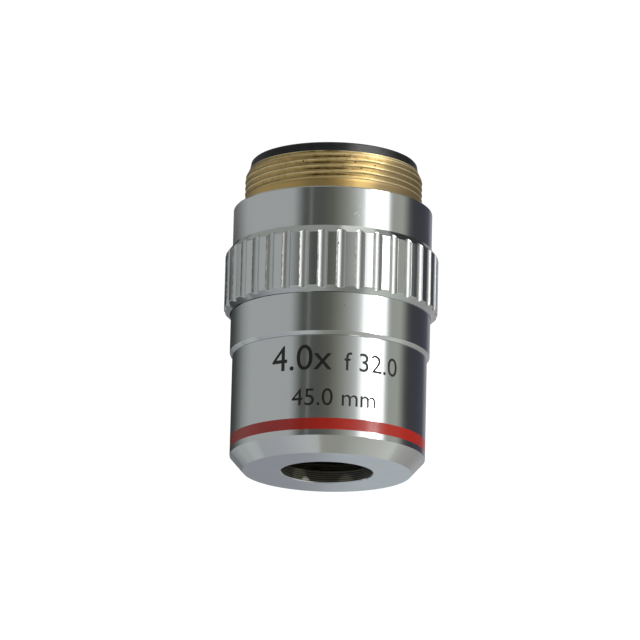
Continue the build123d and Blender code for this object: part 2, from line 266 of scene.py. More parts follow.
def chrome_darkened_in_joint():
    """Plate that is darkened to a dark brown in the joint, fading out to the right."""
    material, tree, position = start_material("chrome plate with dirt in the joint")
    # The darkening is strongest in front and fades out to the right.
    side = ranged(tree, axes(tree, position)["X"], 3.0, 1.0, soft=True)
    cover = ranged(tree, noise(tree, position, 0.6, 4.0), 0.3, 0.55)
    darkening = calculate(tree, "MULTIPLY", side, cover)
    return end_material(material, {
        "Base Color": blend(tree, darkening, chrome_colour, "#2A2822"),
        "Metallic": 1.0,
        "Roughness": ranged(tree, darkening, to_low=0.15, to_high=0.8),
    })


milled_chrome = chrome_over_milling()
joint_darkened_chrome = chrome_darkened_in_joint()


# %% [markdown]
# ## Bare brass
# The mounting thread is left unplated, because plate would change its fit. Machined brass dulls to a tan gold
# within months. On the thread, the crests are rubbed pale where they meet the nosepiece, and that pale line is
# also a painted highlight, as is a pale line along the top rim. The roots are darkened with painted shade,
# most of it in front, and old fingerprints leave blotches. The right side is painted browner and darker, which
# is painted shade. Height and angle together give the place within one turn of the thread, so crest and root
# can be drawn as lines that climb with the helix.

# %% Machined brass with painted highlights on the crests and painted shade in the roots
thread_pitch = 25.4 / 36
thread_start = 1.25
run_out = 0.3
# Height of one groove on the camera's side
groove_height = 3.09
# How far under the top the rim's painted highlight starts and is at its full strength
rim_start = 0.14
rim_end = 0.04
brass_specks = [
    (-9.0, -4.55, 4.1), (-3.5, -9.45, 3.3), (1.1, -10.0, 3.97), (1.75, -9.9, 3.99), (2.35, -9.8, 3.22),
    (3.05, -9.6, 2.55), (4.6, -8.95, 3.1),
]
brass_speck_radius = 0.14


def machined_brass(top):
    """Brass whose marks follow the thread, up to the height of its top."""
    material, tree, position = start_material("machined brass with painted light and shade")
    parts = axes(tree, position)
    # The angle runs from +X, so a quarter turn makes the camera's side its start.
    around = calculate(tree, "ARCTAN2", parts["Y"], parts["X"])
    turn = calculate(tree, "MULTIPLY_ADD", around, -1 / (2 * pi), -0.25 - groove_height / thread_pitch)
    phase = calculate(tree, "MULTIPLY_ADD", parts["Z"], 1 / thread_pitch, turn)
    from_root = calculate(tree, "PINGPONG", phase, 0.5)
    cut = ranged(tree, parts["Z"], thread_start - run_out, thread_start + run_out, soft=True)
    # Crests are rubbed pale where they meet the nosepiece, and the pale line on each crest is also a painted
    # highlight. The rim under the top gets a painted highlight too.
    crest = calculate(tree, "MULTIPLY", ranged(tree, from_root, 0.4, 0.5, soft=True), cut)
    root = calculate(tree, "MULTIPLY", ranged(tree, from_root, 0.2, 0.06, soft=True), cut)
    rim = ranged(tree, parts["Z"], top - rim_start, top - rim_end, soft=True)
    painted_light = calculate(tree, "MAXIMUM", crest, rim)
    # Painted shade lies in the roots, most of it in front and a little left of the middle.
    off_front = calculate(tree, "ABSOLUTE", calculate(tree, "SUBTRACT", parts["X"], -0.5))
    front = ranged(tree, off_front, 4.4, 1.2, to_low=0.15, soft=True)
    patches = noise(tree, position, 0.9, 6.0)
    darkening = calculate(tree, "MULTIPLY", ranged(tree, patches, 0.36, 0.58, 0.3, 0.95), front)
    root_shade = calculate(tree, "MULTIPLY", darkening, root)
    dark = calculate(tree, "MAXIMUM", root_shade, specks(tree, position, brass_specks, brass_speck_radius))
    # Painted shade darkens the right side, and reaches further round at the foot than at the top.
    side = calculate(tree, "MULTIPLY_ADD", parts["Z"], -0.6, parts["X"])
    right_shade = ranged(tree, side, 2.4, 5.2, to_high=0.9, soft=True)
    blotches = ranged(tree, noise(tree, position, 1.7, 3.0, 0.7), 0.47, 0.66, to_high=0.45)
    dulled = calculate(tree, "MULTIPLY", blotches, cut)
    colour = blend(tree, cut, "#CBAC71", "#C9AC74")
    # The tones are, in order: painted shade on the right, blotches, painted highlights on crest and rim, and
    # painted shade in the roots with a few dark specks.
    for share, tone in ((right_shade, "#8C7C5E"), (dulled, "#8A7242"), (painted_light, "#EBDFB8"), (dark, "#4A3A1B")):
        colour = blend(tree, share, colour, tone)
    polish = ranged(tree, patches, to_low=0.3, to_high=0.46)
    return end_material(material, {
        "Base Color": colour,
        "Metallic": 1.0,
        "Roughness": calculate(tree, "MULTIPLY_ADD", right_shade, 0.2, polish),
        "Normal": bumps(tree, dulled, 0.012, Normal=turning_marks(tree, position, 0.12, 0.0015)),
    })


thread_radius, mount_foot, thread_top = size_of("thread_mount")
brass = machined_brass(thread_top)


# %% [markdown]
# ## Black finishes
# Stray light inside an objective would veil the picture, so everything that light could graze is black. Brass
# is blackened in a chemical bath, which leaves a matt brown-black. Aluminium is anodised and dyed, which
# leaves a satin charcoal. One function makes both, because only the colours and the sheen differ. The wall
# of the front hole is the same blackened brass, with two paler patches of painted light and a painted glint
# on its lip. The bore of the sleeve behind the hole's lip is painted pale grey: painted light, so that it
# shows dark grey instead of black.

# %% Blackened brass and black anodised aluminium
def black_finish(name, colour, worn_colour, low_roughness, high_roughness, painted_light=()):
    """A black skin with streaks of wear, and with paler patches of painted light at the given places."""
    material, tree, position = start_material(name)
    patches = noise(tree, position, 1.1, 5.0)
    wear = calculate(tree, "MULTIPLY", ring_noise(tree, position, 5.0, 5.0), patches)
    shade = blend(tree, wear, colour, worn_colour)
    for places, radius, tone in painted_light:
        shade = blend(tree, specks(tree, position, places, radius), shade, tone)
    return end_material(material, {
        "Base Color": shade,
        "Roughness": ranged(tree, patches, to_low=low_roughness, to_high=high_roughness),
        "Normal": turning_marks(tree, position, 0.15, 0.003),
    })


black_brass = black_finish("chemically blackened brass", "#2C2B26", "#4E4A3C", 0.38, 0.6)
# The bore is painted pale grey: painted light that lifts it from black.
pale_painted_bore = black_finish("blackened brass, painted pale in the bore", "#8A877F", "#A5A196", 0.5, 0.7)
black_anodised = black_finish("black anodised aluminium", "#0D0D0F", "#2A2A2D", 0.26, 0.4)
# The two paler patches in the hole are painted light, and the small near-white spot on the lip is a painted
# glint.
hole_wall_black = black_finish("blackened brass in the hole, with painted light", "#100F0B", "#57523F", 0.3, 0.5, painted_light=[
    ([(-3.1, 4.1, -29.9), (2.2, 4.7, -30.5)], 1.2, "#5A5848"),
    ([(-2.4, 4.6, -30.45)], 0.62, "#D0D0CA"),
])


# %% [markdown]
# ## Enamel, engraving paint and steel
# The colour band is a groove filled with enamel and turned flush, so it is very slightly uneven. It lies under
# clear lacquer: the lacquer gives the gloss, and the pigment below gives next to none. The engraved characters
# are filled with black paint and have no lacquer. The centring screws inside are plain turned steel.

# %% Enamel, paint and steel
def filled_paint(name, colour, darker_colour, gloss, lacquer):
    """Paint in a groove with a share of clear lacquer on it, painted darker towards the left as painted shade.
    """
    material, tree, position = start_material(name)
    pool = noise(tree, position, 0.8, 3.0)
    # The colour is painted darker towards the left: painted shade. The pools vary at random.
    left = ranged(tree, axes(tree, position)["X"], 5.0, -7.0, -0.5, 0.5, soft=True)
    pool_and_shade = calculate(tree, "ADD", pool, left, clamp=True)
    return end_material(material, {
        "Base Color": blend(tree, pool_and_shade, colour, darker_colour),
        "Roughness": gloss,
        "Normal": bumps(tree, pool, 0.01),
        "Specular IOR Level": 0.5 - 0.45 * lacquer,
        "Coat Weight": lacquer,
        "Coat Roughness": 0.17,
    })


def turned_steel():
    """Bare steel with a little grain."""
    material, tree, position = start_material("plain turned steel")
    return end_material(material, {
        "Base Color": to_linear("#A6A6A4"),
        "Metallic": 1.0,
        "Roughness": ranged(tree, noise(tree, position, 6.0, 4.0), to_low=0.25, to_high=0.4),
    })


red_enamel = filled_paint("red enamel, filled flush", "#AD251A", "#931C15", 0.3, 0.8)
engraving_paint = filled_paint("black engraving paint", "#070807", "#0C0D0C", 0.4, 0.0)
steel = turned_steel()


# %% [markdown]
# ## Optical glass
# Crown glass bends light a little, flint glass more, and both are polished far finer than any texture. What
# the eye catches is the coating against reflections, a film that gives back a faint violet. The tint on the
# specular part stands for that film, and the body of the glass stays clear.

# %% Coated crown and flint glass
def coated_glass(name, bending, tint):
    """Clear glass that gives back a faint violet."""
    material, tree, position = start_material(name)
    return end_material(material, {
        "Base Color": blend(tree, noise(tree, position, 0.3), tint, "#F2F4F3"),
        "Roughness": 0.02,
        "IOR": bending,
        "Transmission Weight": 1.0,
        "Specular Tint": to_linear("#B9A6E8"),
    })


crown_glass = coated_glass("coated crown glass", 1.52, "#EDF3F1")
flint_glass = coated_glass("coated flint glass", 1.62, "#F1F0E6")


# %% [markdown]
# ## Turning on a lathe
# Nearly every piece here is a turned ring. Blender's spin can sweep a drawn outline, but pulling a circle
# along the outline does the same with one plain step per corner: extrude the ring of edges to the next
# height, then scale it to the next radius. Points then lie exactly on the drawing. The last circle is bridged
# to the first, or both ends are filled where the piece is solid glass.

# %% Turned rings
smooth_angle = radians(14)
sharp_angle = radians(28)


def fresh(name, add, **settings):
    """Adds one primitive with nothing else selected, and names it."""
    bpy.ops.object.select_all(action="DESELECT")
    add(**settings)
    piece = bpy.context.object
    piece.name = name
    return piece


def only(piece):
    """Makes one piece the only selected and the active one."""
    bpy.ops.object.select_all(action="DESELECT")
    piece.select_set(True)
    bpy.context.view_layer.objects.active = piece


def turned(name, corners, around=240, solid=False):
    """A ring turned about the axis, from (radius, height) corners in millimetres."""
    radius, height = corners[0]
    piece = fresh(name, bpy.ops.mesh.primitive_circle_add, vertices=around, radius=radius * mm,
                  location=(0, 0, height * mm))
    bpy.ops.object.mode_set(mode="EDIT")
    bpy.ops.mesh.select_mode(type="EDGE")
    bpy.ops.mesh.select_all(action="SELECT")
    for next_radius, next_height in corners[1:]:
        rise = (0, 0, (next_height - height) * mm)
        growth = next_radius / radius
        bpy.ops.mesh.extrude_region_move(TRANSFORM_OT_translate={"value": rise})
        bpy.ops.transform.resize(value=(growth, growth, 1), center_override=(0, 0, next_height * mm))
        radius, height = next_radius, next_height
    bpy.ops.mesh.select_all(action="SELECT")
    if solid:
        bpy.ops.mesh.fill_holes(sides=0)
    else:
        bpy.ops.mesh.select_non_manifold(extend=False)
        bpy.ops.mesh.bridge_edge_loops()
    bpy.ops.mesh.select_all(action="SELECT")
    bpy.ops.mesh.normals_make_consistent(inside=False)
    bpy.ops.object.mode_set(mode="OBJECT")
    only(piece)
    bpy.ops.object.transform_apply()
    return piece


def modify(piece, name, kind, **settings):
    """Adds a modifier, sets it and applies it."""
    only(piece)
    modifier = piece.modifiers.new(name, kind)
    for setting, value in settings.items():
        setattr(modifier, setting, value)
    bpy.ops.object.modifier_apply(modifier=modifier.name)


def break_edges(piece, width):
    """Leaves a narrow flat on every sharp edge, as a deburring tool does."""
    modify(piece, "broken edges", "BEVEL", width=width * mm, segments=1, limit_method="ANGLE",
           angle_limit=sharp_angle)


def fit_piece(piece, finish, slot, *nodes):
    """Shades a finished piece and puts it in the place of its solids."""
    only(piece)
    bpy.ops.object.shade_smooth_by_angle(angle=smooth_angle)
    piece.data.materials.append(finish)
    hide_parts(*nodes)
    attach(piece, "root")
    print(piece.name, len(piece.data.polygons), "faces")


print("a circle and its corners make every ring")


# %% [markdown]
# ## The barrel
# The plated sleeve carries the shoulder collar that stops against the nosepiece. It is a plain turned part,
# so its outline says it all: seat face, broken edge, long side, the small bevel at the joint with the lower
# sleeve, and the bores that the other pieces screw into.

# %% Barrel
barrel_radius, barrel_foot, _ = size_of("barrel")
collar_edge = 0.15
barrel_end_bevel = 0.35
barrel_wall = 1.2
barrel_edge = 0.03
screw_gap = 0.02
seat_bore = thread_radius + screw_gap
mount_spigot_radius = 9.28
seat_relief = 0.4
lower_bore = barrel_radius - barrel_wall
barrel = turned("barrel_sleeve", [
    (seat_bore, 0),
    (barrel_radius - collar_edge, 0),
    (barrel_radius, -collar_edge),
    (barrel_radius, barrel_foot + barrel_end_bevel),
    (barrel_radius - barrel_end_bevel, barrel_foot),
    (lower_bore, barrel_foot),
    (lower_bore, mount_foot),
    (mount_spigot_radius + screw_gap, mount_foot),
    (mount_spigot_radius + screw_gap, -seat_relief),
    (seat_bore, -seat_relief),
])
break_edges(barrel, barrel_edge)
fit_piece(barrel, chrome, "chrome_plate", "barrel")


# %% [markdown]
# ## The nose sleeve
# The lower sleeve screws into the barrel from below and protects the lenses. Its side has a shallow groove for
# the enamel, then a narrow strip of plate, a wide bevel and the flat nose. The hole's wall is blackened and
# has fine ridges turned in it, which trap the light that would glance off a smooth wall.

# %% Nose sleeve
sleeve_radius, nose_face, spigot_top = size_of("nose_sleeve")
_, band_low, band_high = size_of("colour_band")
band_depth = 0.12
sleeve_wall = 1.75
sleeve_bore = sleeve_radius - sleeve_wall
sleeve_edge = 0.08
nose_bevel_width = 1.5
nose_bevel_length = 1.7
hole_radius = 5.18
hole_edge = 0.1
nose_lip = 1.4
ridge_count = 5
ridge_depth = 0.05
ridge_pitch = (nose_lip - 2 * hole_edge) / ridge_count
ridges = []
for ridge in range(ridge_count):
    foot = nose_face + nose_lip - hole_edge - ridge * ridge_pitch
    ridges += [(hole_radius, foot), (hole_radius + ridge_depth, foot - ridge_pitch / 2)]
sleeve = turned("nose_sleeve_turned", [
    (hole_radius + hole_edge, nose_face),
    (sleeve_radius - nose_bevel_width, nose_face),
    (sleeve_radius, nose_face + nose_bevel_length),
    (sleeve_radius, band_low),
    (sleeve_radius - band_depth, band_low),
    (sleeve_radius - band_depth, band_high),
    (sleeve_radius, band_high),
    (sleeve_radius, barrel_foot - sleeve_edge),
    (sleeve_radius - sleeve_edge, barrel_foot),
    (lower_bore - screw_gap, barrel_foot),
    (lower_bore - screw_gap, spigot_top),
    (sleeve_bore, spigot_top),
    (sleeve_bore, nose_face + nose_lip),
    (hole_radius, nose_face + nose_lip),
    *ridges,
    (hole_radius, nose_face + hole_edge),
])
fit_piece(sleeve, chrome, "chrome_plate", "nose_sleeve")

# %% Blackened wall of the hole and the inside
sleeve.data.materials.append(pale_painted_bore)
sleeve.data.materials.append(hole_wall_black)
for face in sleeve.data.polygons:
    _, reach, height = about_axis(face.center)
    if reach < sleeve_bore + sleeve_edge and height > nose_face + hole_edge / 2:
        # The hole's wall takes the finish with painted light, and the bore behind its lip takes the one
        # painted pale.
        in_hole_wall = height < nose_face + nose_lip - hole_edge / 2 and reach < hole_radius + hole_edge
        face.material_index = 2 if in_hole_wall else 1
print("blackened faces:", sum(face.material_index > 0 for face in sleeve.data.polygons))


# %% [markdown]
# ## The colour band
# Enamel shrinks a little as it dries, so its surface sinks by a few hundredths between the groove's edges.
# A turned ring whose side is drawn in a little towards its middle shows that as a soft reflection.

# %% Colour band
band_sink = 0.006
band_shoulder = 0.15 * (band_high - band_low)
band = turned("colour_band_enamel", [
    (sleeve_radius - band_depth, band_low),
    (sleeve_radius, band_low),
    (sleeve_radius - band_sink / 2, band_low + band_shoulder),
    (sleeve_radius - band_sink, (band_low + band_high) / 2),
    (sleeve_radius - band_sink / 2, band_high - band_shoulder),
    (sleeve_radius, band_high),
    (sleeve_radius - band_depth, band_high),
])
fit_piece(band, red_enamel, "red_enamel", "colour_band")


# %% [markdown]
# ## The grip ring
# Thirty-six round-bottomed grooves are milled through the ring and out over both of its bevels. The plain
# ring is turned first, with sixteen columns of points to each groove and land. Each point on the two outer
# lines is then drawn in to where the cutter would leave it, and slid along the bevel to that radius, so the
# groove's mouth gets its true curved edge without a boolean cut.

# %% Plain grip ring
grip_radius, grip_foot, grip_top = size_of("grip_ring")
columns = 16
ring_play = 0.015
lip_width = 0.08
grip_bore = barrel_radius + ring_play
lip_radius = grip_bore + lip_width
top_bevel = 0.95
foot_bevel = 0.55
grip = turned("grip_ring_fluted", [
    (grip_bore, grip_foot),
    (lip_radius, grip_foot),
    (grip_radius, grip_foot + foot_bevel),
    (grip_radius, grip_top - top_bevel),
    (lip_radius, grip_top),
    (grip_bore, grip_top),
], around=flute_count * columns)
print("plain ring of", len(grip.data.vertices), "points")

# %% Mill the flutes
flute_width = 1.1
flute_depth = 0.28
cutter_radius = ((flute_width / 2) ** 2 + flute_depth ** 2) / (2 * flute_depth)
cutter_reach = grip_radius - flute_depth + cutter_radius
groove_columns = 12
grip_edge = 0.035
lip_margin = 0.1
pitch_angle = 2 * pi / flute_count
# Half of the cutter's arc, up to where its circle crosses the ring's outer circle
cosine = (cutter_reach ** 2 + cutter_radius ** 2 - grip_radius ** 2) / (2 * cutter_reach * cutter_radius)
cutter_half_angle = atan2(sqrt(1 - cosine ** 2), cosine)


def cutter_point(share):
    """Angle from the groove's middle and distance from the axis, for a share of the cutter's arc."""
    turn = share * cutter_half_angle
    inwards = cutter_reach - cutter_radius * cos(turn)
    sideways = cutter_radius * sin(turn)
    return atan2(sideways, inwards), hypot(inwards, sideways)


def flute_column(column):
    """Angle from the groove's middle and radius of one of the sixteen columns."""
    half = groove_columns / 2
    if abs(column) <= half:
        return cutter_point(column / half)
    edge_angle, _ = cutter_point(1)
    past = (abs(column) - half) / (columns / 2 - half)
    angle = edge_angle + past * (pitch_angle / 2 - edge_angle)
    return (angle if column > 0 else -angle), grip_radius


for point in grip.data.vertices:
    angle, radius, height = about_axis(point.co)
    flute = round((angle - pitch_angle / 2) / pitch_angle)
    middle = (flute + 0.5) * pitch_angle
    column = round((angle - middle) / pitch_angle * columns)
    shift, groove_radius = flute_column(column)
    if radius > lip_radius + lip_margin:
        share = (grip_radius - groove_radius) / (grip_radius - lip_radius)
        if height > (grip_top + grip_foot) / 2:
            height = grip_top - top_bevel * (1 - share)
        else:
            height = grip_foot + foot_bevel * (1 - share)
        radius = groove_radius
    turn = middle + shift
    point.co = Vector((radius * cos(turn), radius * sin(turn), height)) * mm
break_edges(grip, grip_edge)
fit_piece(grip, chrome, "chrome_plate", "grip_ring")

# %% Milled grooves and the joint under the ring
grip.data.materials.append(milled_chrome)
grip.data.materials.append(joint_darkened_chrome)
groove_edge, _ = cutter_point(1)
edge_margin = 0.012
joint_margin = 0.05
slant = 0.1
for face in grip.data.polygons:
    angle, reach, height = about_axis(face.center)
    from_middle = abs(angle / pitch_angle - 0.5 - round(angle / pitch_angle - 0.5)) * pitch_angle
    upright = abs(face.normal.z) < slant
    in_joint = reach < lip_radius + joint_margin and height < grip_foot + joint_margin
    if upright and reach > lip_radius and from_middle < groove_edge + edge_margin:
        face.material_index = 1
    elif in_joint and face.normal.z < -slant:
        face.material_index = 2
print("faces of each finish:", [sum(face.material_index == slot for face in grip.data.polygons)
                                for slot in range(3)])


# %% [markdown]
# ## The mounting thread
# The standard objective thread has 36 turns to the inch, so one turn climbs 0.7056 mm. A screw modifier could
# sweep it, but the thread has to fade out above the shoulder and along its tapered end. So the brass stub is
# turned with a finely divided wall, and each point of that wall is drawn in by a groove whose height depends
# on the angle: that is a helix. A fade at the foot gives the run-out that a cutting tool leaves, and the top
# tapers in, so that the thread finds its hole. The groove is shallow and round, as a worn thread looks.

# %% Brass stub
rows_per_turn = 16
mount_bore = 8.1
lead_width = 0.45
lead_length = 0.9
relief_width = 0.2
wall_rows = round(thread_top / thread_pitch * rows_per_turn)
row_height = thread_top / wall_rows


def wall_radius_at(height):
    """Radius of the stub's side before the thread is cut."""
    return thread_radius - lead_width * max(0, (height - thread_top + lead_length) / lead_length)


mount = turned("thread_mount_cut", [
    (mount_bore, mount_foot),
    (mount_spigot_radius, mount_foot),
    (mount_spigot_radius, -seat_relief),
    (thread_radius - relief_width, -seat_relief),
    (thread_radius - relief_width, 0),
    *[(wall_radius_at(row * row_height), row * row_height) for row in range(wall_rows + 1)],
    (mount_bore, thread_top),
])
print("wall of", wall_rows, "rows,", round(row_height, 4), "mm each")

# %% Cut the thread
near_side = -pi / 2
thread_depth = 0.075
valley_roundness = 4


def fade(value, start, end):
    """Goes smoothly from nought at start to one at end."""
    share = min(max((value - start) / (end - start), 0), 1)
    return share * share * (3 - 2 * share)


for point in mount.data.vertices:
    angle, radius, height = about_axis(point.co)
    if radius > thread_radius - lead_width - relief_width / 4 and height > 0:
        turn = (angle - near_side) / (2 * pi)
        phase = (height - groove_height) / thread_pitch - turn
        from_valley = abs(2 * (phase - round(phase)))
        depth = thread_depth * (1 - from_valley ** valley_roundness)
        limit = thread_radius - depth * fade(height, thread_start - run_out, thread_start + run_out)
        if radius > limit:
            point.co.x *= limit / radius
            point.co.y *= limit / radius
fit_piece(mount, brass, "bare_brass", "thread_mount")


# %% [markdown]
# ## The rear stop ring
# A black ring screws into the thread's end and stops stray light from the tube. It stands about a millimetre
# out of the brass and has two small holes for a pin spanner. The ring is turned, and a boolean cuts the
# holes, because it does to a flat face just what a drill does.

# %% Rear stop ring
def cut_away(piece, cutter):
    """Cuts one mesh out of a piece and deletes the cutter."""
    modify(piece, "cut", "BOOLEAN", operation="DIFFERENCE", solver="EXACT", object=cutter)
    bpy.data.objects.remove(cutter)


flange_radius, stop_foot, stop_top = size_of("rear_stop_ring")
head_radius, _, _ = size_of("parfocal_lock_ring")
stop_bore = 6.5
stop_chamfer = 0.5
flange_taper = 0.15
flange_edge = 0.17
stop_ring = turned("rear_stop_ring_turned", [
    (stop_bore, stop_foot),
    (head_radius, stop_foot),
    (head_radius, thread_top),
    (flange_radius, thread_top),
    (flange_radius - flange_taper, stop_top - flange_edge),
    (flange_radius - flange_taper - flange_edge, stop_top),
    (stop_bore + stop_chamfer, stop_top),
    (stop_bore, stop_top - stop_chamfer),
])
pin_hole_radius = 0.5
pin_hole_depth = 0.7
stop_ring_edge = 0.06
for side in (-1, 1):
    place = side * (flange_radius - flange_taper - flange_edge + stop_bore + stop_chamfer) / 2
    cut_away(stop_ring, fresh("drill", bpy.ops.mesh.primitive_cylinder_add, vertices=32,
                              radius=pin_hole_radius * mm, depth=2 * pin_hole_depth * mm,
                              location=(place * mm, 0, stop_top * mm)))
break_edges(stop_ring, stop_ring_edge)
fit_piece(stop_ring, black_anodised, "black_anodised", "rear_stop_ring")


# %% [markdown]
# ## Slotted rings round the glass
# Thin rings with two spanner slots hold the glass and lock the inner tube. They differ only in size and in
# the side that the slots open to, so one function turns a ring and saws both slots in one cut.

# %% Slotted rings
slot_width = 1.2
slot_depth = 0.5
slot_edge = 0.05


def slotted_ring(node, bore, slots_up=True):
    """A thin ring with a slot sawn across the face that the spanner reaches."""
    outer, foot, top = size_of(node)
    piece = turned(node + "_turned", [(bore, foot), (outer, foot), (outer, top), (bore, top)], around=160)
    face = top if slots_up else foot
    cut_away(piece, fresh("saw", bpy.ops.mesh.primitive_cube_add, size=mm, location=(0, 0, face * mm),
                          scale=(3 * outer, slot_width, 2 * slot_depth)))
    break_edges(piece, slot_edge)
    fit_piece(piece, black_brass, "blackened_brass", node)


slotted_ring("parfocal_lock_ring", 6.9)
slotted_ring("train_retaining_ring", 5.6)
slotted_ring("rear_retaining_ring", 4.685)
slotted_ring("front_retaining_ring", 4.485, slots_up=False)


# %% [markdown]
# ## The two outer lenses
# The front and rear glasses can be seen through the openings. A lens is two spherical surfaces and a ground
# edge, so its outline is two arcs. Each arc's height comes from the sphere's radius. The arcs stop just short
# of the axis, and a tiny flat closes them.

# %% Front and rear glass
arc_steps = 14
axis_gap = 0.05


def bow(curve, reach):
    """How far a sphere falls back from its vertex at a distance from the axis."""
    return curve - sqrt(curve ** 2 - reach ** 2)


def arc(vertex, curve, rim, rising):
    """Corners along a spherical surface, from the axis out, rising or falling towards the rim."""
    reaches = [axis_gap + (rim - axis_gap) * step / arc_steps for step in range(arc_steps + 1)]
    return [(reach, vertex + (1 if rising else -1) * bow(curve, reach)) for reach in reaches]


def lens(node, lower, upper, rising):
    """A flint with the radii of its lower and upper sphere, both rising or both falling towards the rim."""
    rim, low, high = size_of(node)
    piece = turned(node + "_polished", [
        *arc(low if rising else low + bow(lower, rim), lower, rim, rising),
        *reversed(arc(high - bow(upper, rim) if rising else high, upper, rim, rising)),
    ], around=128, solid=True)
    fit_piece(piece, flint_glass, "flint_glass", node)


lens("front_flint", 60, 11, rising=True)
lens("rear_flint", 13, 48, rising=False)


# %% [markdown]
# ## Engraved characters
# The maker engraves the sleeve and fills the cuts with black paint. Plain characters stand in that place here:
# the magnification, the focal length beside it, and under both the distance from the seat face to the
# specimen. Text starts flat. It is made a mesh, sliced into narrow upright strips so that it can bend, and
# wrapped round the sleeve point by point. Solidify gives it the thickness of the paint.

# %% Wrap text round the sleeve
paint_thickness = 0.03
paint_proud = 0.008
strip_width = 0.2


def engraved(name, words, cap_height, height, turn):
    """Characters on the sleeve, with their height above the seat face and their turn to the right."""
    text = fresh(name, bpy.ops.object.text_add, location=(0, 0, 0))
    text.data.body = words
    text.data.align_x = "CENTER"
    bpy.ops.object.convert(target="MESH")
    text = bpy.context.object
    heights = [point.co.y for point in text.data.vertices]
    scale = cap_height / (max(heights) - min(heights))
    text.scale = (scale, scale, scale)
    bpy.ops.object.transform_apply()
    half_width = max(abs(point.co.x) for point in text.data.vertices)
    bpy.ops.object.mode_set(mode="EDIT")
    for strip in range(int(2 * half_width / strip_width)):
        bpy.ops.mesh.select_all(action="SELECT")
        place = -half_width + (strip + 0.5) * strip_width
        bpy.ops.mesh.bisect(plane_co=(place, 0, 0), plane_no=(1, 0, 0))
    bpy.ops.object.mode_set(mode="OBJECT")
    paint_radius = sleeve_radius + paint_proud
    for point in text.data.vertices:
        angle = point.co.x / paint_radius + turn
        point.co = Vector((paint_radius * sin(angle), -paint_radius * cos(angle), point.co.y + height)) * mm
    modify(text, "paint thickness", "SOLIDIFY", thickness=paint_thickness * mm, offset=-1)
    text.data.materials.append(engraving_paint)
    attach(text, "root")
    print(name, round(degrees(2 * half_width / sleeve_radius)), "degrees round the sleeve")


engraved("engraved_magnification", "4.0x", 2.9, -21.3, radians(-17))
engraved("engraved_focal_length", "f 32.0", 2.1, -21.3, radians(26))
engraved("engraved_distance", "45.0 mm", 1.95, -25.4, radians(3.5))


# %% [markdown]
# ## The pieces that stay as solids
# The lens cells, spacers, the aperture stop and the cemented inner glasses are closed in. Their solids already
# have the right shape, so they only need the right finish.

# %% Finishes of the inner solids
inner_finish = {
    "blackened_brass": black_brass,
    "black_anodised": black_anodised,
    "screw_steel": steel,
    "crown_glass": crown_glass,
    "flint_glass": flint_glass,
}
for part in frame["record"]["subparts"]:
    finish = inner_finish.get(part["material_slot"])
    solid = frame["nodes"][part["node"]]
    if finish and not solid.hide_render:
        for place in solid.material_slots:
            place.material = finish
        print(part["node"], "is", finish.name)


# %% [markdown]
# ## The studio
# Polished metal is only as good as what it reflects. To see where a card belongs, follow a ray from the
# camera to one surface and off it again: the sides see the wall, the bevels see the skirting, the table and
# the ceiling. So a wall of soft grey tones stands round the objective, with a dark cloth in front, a tall
# window to the right with one brighter pane, and dark corners behind. Two windows and the drapes hang high on
# it for the black ring, and three low cards shape the left end of the nose bevel. The skirting runs on down to
# a table of three discs. Tones that change by angle are drawn by a radial gradient. The camera sees none of
# the cards, only the white room behind.

# %% Tones by angle
wall_radius = 700
wall_low = 60
wall_high = 520
floor_height = -300
table_height = floor_height + 5
pale_wall = "#B9BCBA"
front_cloth = "#5A5C57"
# Degrees to the right of the camera, as seen from the objective, and the tone there
wall_tones = [
    (-180, "#6E6F70"), (-176, "#3B3D3F"), (-157, "#3F4243"), (-144, "#4F5552"), (-132, "#767B79"),
    (-120, "#9FA4A1"), (-106, pale_wall), (-46, pale_wall), (-33, front_cloth), (-25.6, front_cloth),
    (-25.2, "#A4A6A0"), (-24.2, "#A4A6A0"), (-23.8, front_cloth), (-12, front_cloth), (0, "#6B6B61"),
    (12, "#8E8F86"), (24, "#B2B5AE"), (34, "#DDE0DB"), (37, "#FFFFFF"), (66, "#FFFFFF"), (73, "#ABAFA5"),
    (88, "#B5B7AB"), (100, "#5A5C5C"), (108, "#444649"), (132, "#484952"), (146, "#565660"),
    (158, "#95969B"), (180, "#A8A7AA"),
]
left_upper_tones = [
    (-180, "#6A6B6C"), (-156, "#737473"), (-144, "#838480"), (-132, "#9FA09E"), (-116, pale_wall),
]
# The skirting and the widest disc share these tones, and the two wider discs share those in front
back_right_tones = [
    (124, "#B4B3AF"), (140, "#A8A7A5"), (158, "#B6B6B8"), (180, "#9A9A9C"),
]
front_tones = [
    (-82, "#B9BCBF"), (-40, "#CDCFCD"), (-18, "#CDCFC9"), (-15, "#AAAA9E"), (30, "#AAABA1"),
    (62, "#C4C5BC"), (92, "#D6D6D0"),
]
skirting_tones = [
    (-180, "#66696C"), (-156, "#8C9194"), (-140, "#B0B5B5"), (-122, "#C7CBCA"), (-60, "#B9BCBF"),
    (-18, "#CDCFC9"), (-15, "#AAAA9E"), (30, "#AAABA1"), (62, "#C4C5BC"), (100, "#D6D6D0"),
    *back_right_tones,
]
table_tones = [
    (-180, "#434545"), (-150, "#434545"), (-139, "#5E6160"), (-135, "#727574"), (-131, "#B9BEBD"),
    (-122, "#C7CBCA"), *front_tones, (106, "#CFCFCA"), *back_right_tones,
]
inner_table_tones = [
    (-180, "#434545"), (-150, "#434545"), (-136, "#626564"), (-130, "#7C7F81"), (-122, "#999B9D"),
    (-114, "#B0B2B2"), (-106, "#B5B8BA"), *front_tones, (106, "#DFE4DA"), (122, "#BEC4BD"),
    (136, "#A7AAA7"), (180, "#A8AEAE"),
]
centre_tones = [
    (-180, "#A3A6A4"), (-60, "#AAAEA9"), (-10, "#93958E"), (60, "#898A84"), (84, "#8A8B85"),
    (100, "#A3A7A1"), (180, "#A3A6A4"),
]


